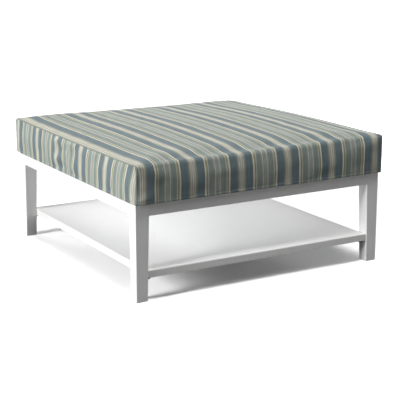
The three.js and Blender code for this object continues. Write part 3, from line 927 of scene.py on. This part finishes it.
def make_stitches(cushion):
    """The row of stitches along the hem, each thread lying in the groove on the cover."""
    surface = BVHTree.FromPolygons(
        [vertex.co for vertex in cushion.data.vertices], [face.vertices for face in cushion.data.polygons]
    )
    stitch = add_cube("hem_stitches", (0, 0, 0), STITCH_SIZE)
    round_edges(0.28, 1)
    outside_mm = 60
    start = -HALF + STITCH_END
    count = round(-2 * start / STITCH_PITCH)
    copies = []
    for side in (Vector((1, 0, 0)), Vector((-1, 0, 0)), Vector((0, 1, 0)), Vector((0, -1, 0))):
        row = side.cross(Vector((0, 0, 1)))
        for i in range(count + 1):
            along = start - 2 * start * i / count
            outside = (side * (HALF + outside_mm) + row * along) * MM
            outside.z = HEM_STITCH_HEIGHT * MM
            place, normal = surface.ray_cast(outside, -side)[:2]
            across = normal.cross(row).normalized()
            turn = Matrix((across.cross(normal), across, normal)).transposed().to_4x4()
            copy = stitch.copy()
            copy.data = stitch.data.copy()
            copy.data.transform(Matrix.Translation(place) @ turn)
            bpy.context.scene.collection.objects.link(copy)
            copies.append(copy)
    bpy.data.objects.remove(stitch)
    return join_pieces("hem_stitches", copies)


def make_zip_tape():
    """The woven tape, with the two cords that the teeth grip."""
    cuts_along, cuts_across, cord_sides = 60, 7, 12
    middle = (TAPE_BOTTOM + TAPE_TOP) / 2
    tape = add_cube("zip_band", (0, ZIP_PLACE, middle), (2 * ZIP_HALF, TAPE_WIDTH, TAPE_TOP - TAPE_BOTTOM))
    cut_along(0, cuts_along)
    cut_along(1, cuts_across)
    round_edges(0.25)
    parts = [tape]
    for side in (-1, 1):
        place = Vector((0, ZIP_PLACE + side * (TOOTH_SPREAD + TOOTH_SIZE[1] / 2), TAPE_BOTTOM)) * MM
        deselect_all()
        bpy.ops.mesh.primitive_cylinder_add(
            vertices=cord_sides, radius=CORD_RADIUS * MM, depth=2 * (ZIP_HALF - 1) * MM, location=place
        )
        bpy.context.object.rotation_euler = (0, math.pi / 2, 0)
        parts.append(settle())
        cut_along(0, cuts_along)
        round_edges(0.2)
    return join_pieces("zip_band", parts)


def make_zip_teeth():
    """Two rows of moulded teeth that mesh along the middle of the tape, with a stop at each end."""
    stop_length = 2.4
    tip_size = (0.7, 1, 0.8)
    count = int((2 * ZIP_HALF - 2 * ZIP_END) / TOOTH_PITCH)
    middle = TAPE_BOTTOM - TOOTH_SIZE[2] / 2
    parts = []
    for side in (-1, 1):
        first = -ZIP_HALF + ZIP_END + (TOOTH_PITCH / 2 if side > 0 else 0) + TOOTH_SIZE[0]
        tooth = add_cube("zip_teeth", (first, ZIP_PLACE + side * TOOTH_SPREAD, middle), TOOTH_SIZE)
        select_in_mesh("FACE", lambda face: face.normal.y * side < -FACING)
        bpy.ops.transform.resize(value=tip_size)
        bpy.ops.object.mode_set(mode="OBJECT")
        round_edges(0.25, 1)
        offset = (TOOTH_PITCH * MM, 0, 0)
        apply_modifier(
            "ARRAY", count=count, use_relative_offset=False, use_constant_offset=True,
            constant_offset_displace=offset,
        )
        parts.append(tooth)
    for end in (-1, 1):
        place = (end * (ZIP_HALF - ZIP_END / 2), ZIP_PLACE, middle)
        size = (stop_length, 2 * TOOTH_SPREAD + TOOTH_SIZE[1], TOOTH_SIZE[2])
        parts.append(add_cube("zip_stop", place, size))
        round_edges(0.3)
    return join_pieces("zip_teeth", parts)


def make_slider():
    """The slider: a plate that narrows to its tail, the bridge on it, and the pull that hangs from this."""
    tail_share = 0.62
    wire_radius = 0.35
    pull_thickness, pull_frame = 0.8, 1.6
    plate_bottom = SLIDER_TOP - 1.2
    middle_x = (SLIDER_START + SLIDER_END) / 2
    place = (middle_x, ZIP_PLACE, (SLIDER_TOP + plate_bottom) / 2)
    size = (SLIDER_END - SLIDER_START, SLIDER_WIDTH, SLIDER_TOP - plate_bottom)
    plate = add_cube("zip_runner", place, size)
    cut_along(0, 3)
    select_in_mesh("FACE", lambda face: face.normal.x < -FACING)
    bpy.ops.transform.resize(value=(1, tail_share, 1))
    bpy.ops.object.mode_set(mode="OBJECT")
    round_edges(0.4, 3)
    deselect_all()
    bridge_height = plate_bottom - SLIDER_BOTTOM - wire_radius
    bpy.ops.mesh.primitive_torus_add(
        major_segments=24, minor_segments=10, major_radius=bridge_height * 2 * MM,
        minor_radius=wire_radius * MM, location=Vector((middle_x, ZIP_PLACE, plate_bottom)) * MM,
    )
    # The ring stands upright, squeezed to half its height, and its upper half is cut off at the plate
    bridge = bpy.context.object
    bridge.rotation_euler = (math.pi / 2, 0, 0)
    bridge.scale = (1, 0.5, 1)
    settle()
    select_in_mesh("FACE", lambda face: face.calc_center_median().z > (plate_bottom + 0.3) * MM)
    bpy.ops.mesh.delete(type="FACE")
    bpy.ops.mesh.select_all(action="SELECT")
    bpy.ops.mesh.region_to_loop()
    bpy.ops.mesh.edge_face_add()
    bpy.ops.object.mode_set(mode="OBJECT")
    bpy.ops.object.shade_smooth_by_angle(angle=SHARP_ANGLE)
    pull_end = middle_x + 1
    place = ((PULL_START + pull_end) / 2, ZIP_PLACE, SLIDER_BOTTOM + pull_thickness / 2)
    pull = add_cube("zip_pull", place, (pull_end - PULL_START, PULL_WIDTH, pull_thickness))
    select_in_mesh("FACE", lambda face: abs(face.normal.z) > FACING)
    bpy.ops.mesh.inset(thickness=pull_frame * MM, use_individual=True)
    bpy.ops.mesh.delete(type="FACE")
    select_open_edges()
    bpy.ops.mesh.bridge_edge_loops()
    face_outwards()
    round_edges(0.3, 3)
    return join_pieces("zip_runner", [plate, bridge, pull])


# Stage
def add_camera():
    """The camera at the photograph's place and angle."""
    data = bpy.data.cameras.new("camera")
    data.lens = CAMERA_LENS_MM
    data.sensor_width = SENSOR_MM
    camera = bpy.data.objects.new("camera", data)
    bpy.context.scene.collection.objects.link(camera)
    camera.location = CAMERA_PLACE
    camera.rotation_euler = (CAMERA_TARGET - CAMERA_PLACE).to_track_quat("-Z", "Y").to_euler()
    bpy.context.scene.camera = camera


def add_sun(name, way, level, softness):
    """A distant soft lamp that shines along a way."""
    data = bpy.data.lights.new(name, "SUN")
    data.energy = level * math.pi
    data.angle = math.radians(softness)
    lamp = bpy.data.objects.new(name, data)
    lamp.rotation_euler = Vector(way).to_track_quat("-Z", "Y").to_euler()
    bpy.context.scene.collection.objects.link(lamp)


def add_fill():
    """The panel under the deck, which lights the shelf and isn't seen itself."""
    data = bpy.data.lights.new("fill_panel", "AREA")
    data.size = FILL_SIDE * MM
    data.energy = FILL_LEVEL * math.pi * (FILL_SIDE * MM) ** 2
    lamp = bpy.data.objects.new("fill_panel", data)
    lamp.location = Vector(FILL_PLACE) * MM
    lamp.visible_camera = False
    lamp.visible_glossy = False
    lamp.visible_transmission = False
    bpy.context.scene.collection.objects.link(lamp)


def seen_colour(tree, lit, seen):
    """One colour for what lights other things, and another for what the camera sees, also in a reflection or
    through glass."""
    ray = add_node(tree, "ShaderNodeLightPath").outputs
    share = ray["Is Camera Ray"]
    for other in (ray["Is Glossy Ray"], ray["Is Transmission Ray"]):
        share = add_node(tree, "ShaderNodeMath", {0: share, 1: other}, operation="MAXIMUM")
    return add_node(tree, "ShaderNodeMix", {"Factor": share, "A": lit, "B": seen}, data_type="RGBA")


def add_stage():
    """A plain pale floor and the lamps."""
    deselect_all()
    bpy.ops.mesh.primitive_plane_add(size=FLOOR_SIDE_M, location=(0, 0, 0))
    floor = bpy.context.object
    floor.name = "floor"
    material = bpy.data.materials.new("pale_floor")
    tree = cleared_nodes(material)
    tint = seen_colour(tree, linear_colour("#686868"), (FLOOR_GAIN,) * 3 + (1,))
    shader = add_node(tree, "ShaderNodeBsdfDiffuse", {"Color": tint})
    add_node(tree, "ShaderNodeOutputMaterial", {"Surface": shader})
    floor.data.materials.append(material)
    for lamp in LAMPS:
        add_sun(*lamp)
    add_fill()
    world = bpy.data.worlds.new("studio")
    bpy.context.scene.world = world
    tree = cleared_nodes(world)
    tint = seen_colour(tree, linear_colour("#484848"), linear_colour("#ffffff"))
    shade = add_node(tree, "ShaderNodeBackground", {"Color": tint, "Strength": 1.0})
    add_node(tree, "ShaderNodeOutputWorld", {"Surface": shade})


# The object
add_camera()
dress_frame()
cushion = make_cushion()
finish_cushion(cushion)
cushion.data.materials.append(striped_canvas())
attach(cushion, "cushion")
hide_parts("cushion_cover", "fibre_wrap", "foam_core")

stitches = make_stitches(cushion)
stitches.data.materials.append(spun_thread())
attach(stitches, "cushion")

underside = make_base_cloth()
underside.data.materials.append(plain_canvas("dyed_polyester_canvas", "#66737a", "#707d84", 1.5))
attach(underside, "cushion")
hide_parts("underside_cloth")

zip_band = make_zip_tape()
zip_band.data.materials.append(plain_canvas("woven_polyester_tape", "#758387", "#818f92", 1.2))
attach(zip_band, "cushion")
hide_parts("zip_tape")

zip_teeth = make_zip_teeth()
zip_teeth.data.materials.append(moulded_acetal())
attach(zip_teeth, "cushion")

zip_runner = make_slider()
zip_runner.data.materials.append(die_cast_zinc())
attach(zip_runner, "zip_slider")
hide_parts("zip_slider")

add_stage()
bpy.context.scene.view_settings.view_transform = "Standard"
